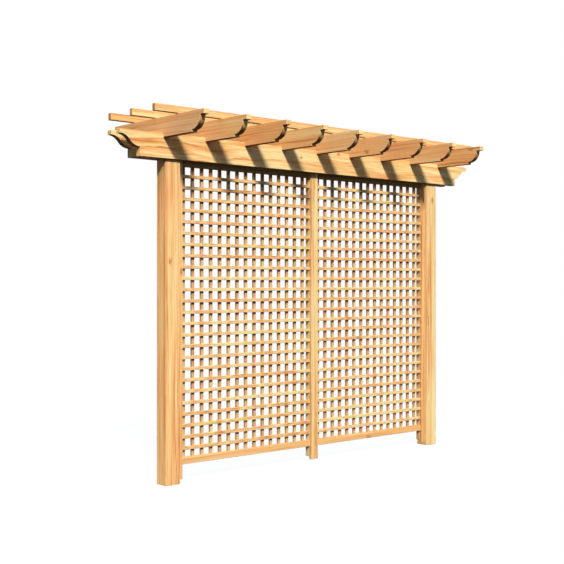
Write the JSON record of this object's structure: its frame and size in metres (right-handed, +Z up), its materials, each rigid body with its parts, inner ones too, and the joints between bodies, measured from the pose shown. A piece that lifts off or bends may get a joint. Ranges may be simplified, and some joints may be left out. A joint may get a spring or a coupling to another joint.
{
  "type": "pergola wall",
  "caption": "Freestanding wooden pergola wall: posts and paired beams carry shaped rafters and purlins over trellis panels that screen the bay.",
  "frame": {"origin": "centre of the left post's foot, on the ground", "axes": "+X along the wall to the right post, +Y from front to back, +Z up"},
  "size_m": [2.926, 0.876, 2.101],
  "materials": {
    "post": "sawn and planed cedar, clear oiled, satin",
    "beam": "sawn and planed cedar, clear oiled, satin",
    "rafter": "sawn and planed cedar, clear oiled, satin",
    "purlin": "sawn and planed cedar, clear oiled, satin",
    "infill": "sawn and planed cedar, clear oiled, satin",
    "lattice": "sawn and planed cedar, clear oiled, satin"
  },
  "bodies": {
    "root": {"left_post": "post", "right_post": "post", "front_beam": "beam", "rear_beam": "beam", "rafter_1": "rafter", "rafter_2": "rafter", "rafter_3": "rafter", "rafter_4": "rafter", "rafter_5": "rafter", "rafter_6": "rafter", "rafter_7": "rafter", "rafter_8": "rafter", "rafter_9": "rafter", "front_purlin": "purlin", "middle_purlin": "purlin", "rear_purlin": "purlin", "left_front_stop": "infill", "left_rear_stop": "infill", "right_front_stop": "infill", "right_rear_stop": "infill", "centre_front_batten": "infill", "centre_rear_batten": "infill", "left_top_rail": "infill", "right_top_rail": "infill", "left_bottom_rail": "infill", "right_bottom_rail": "infill", "left_lattice": "lattice", "right_lattice": "lattice"}
  },
  "joints": []
}
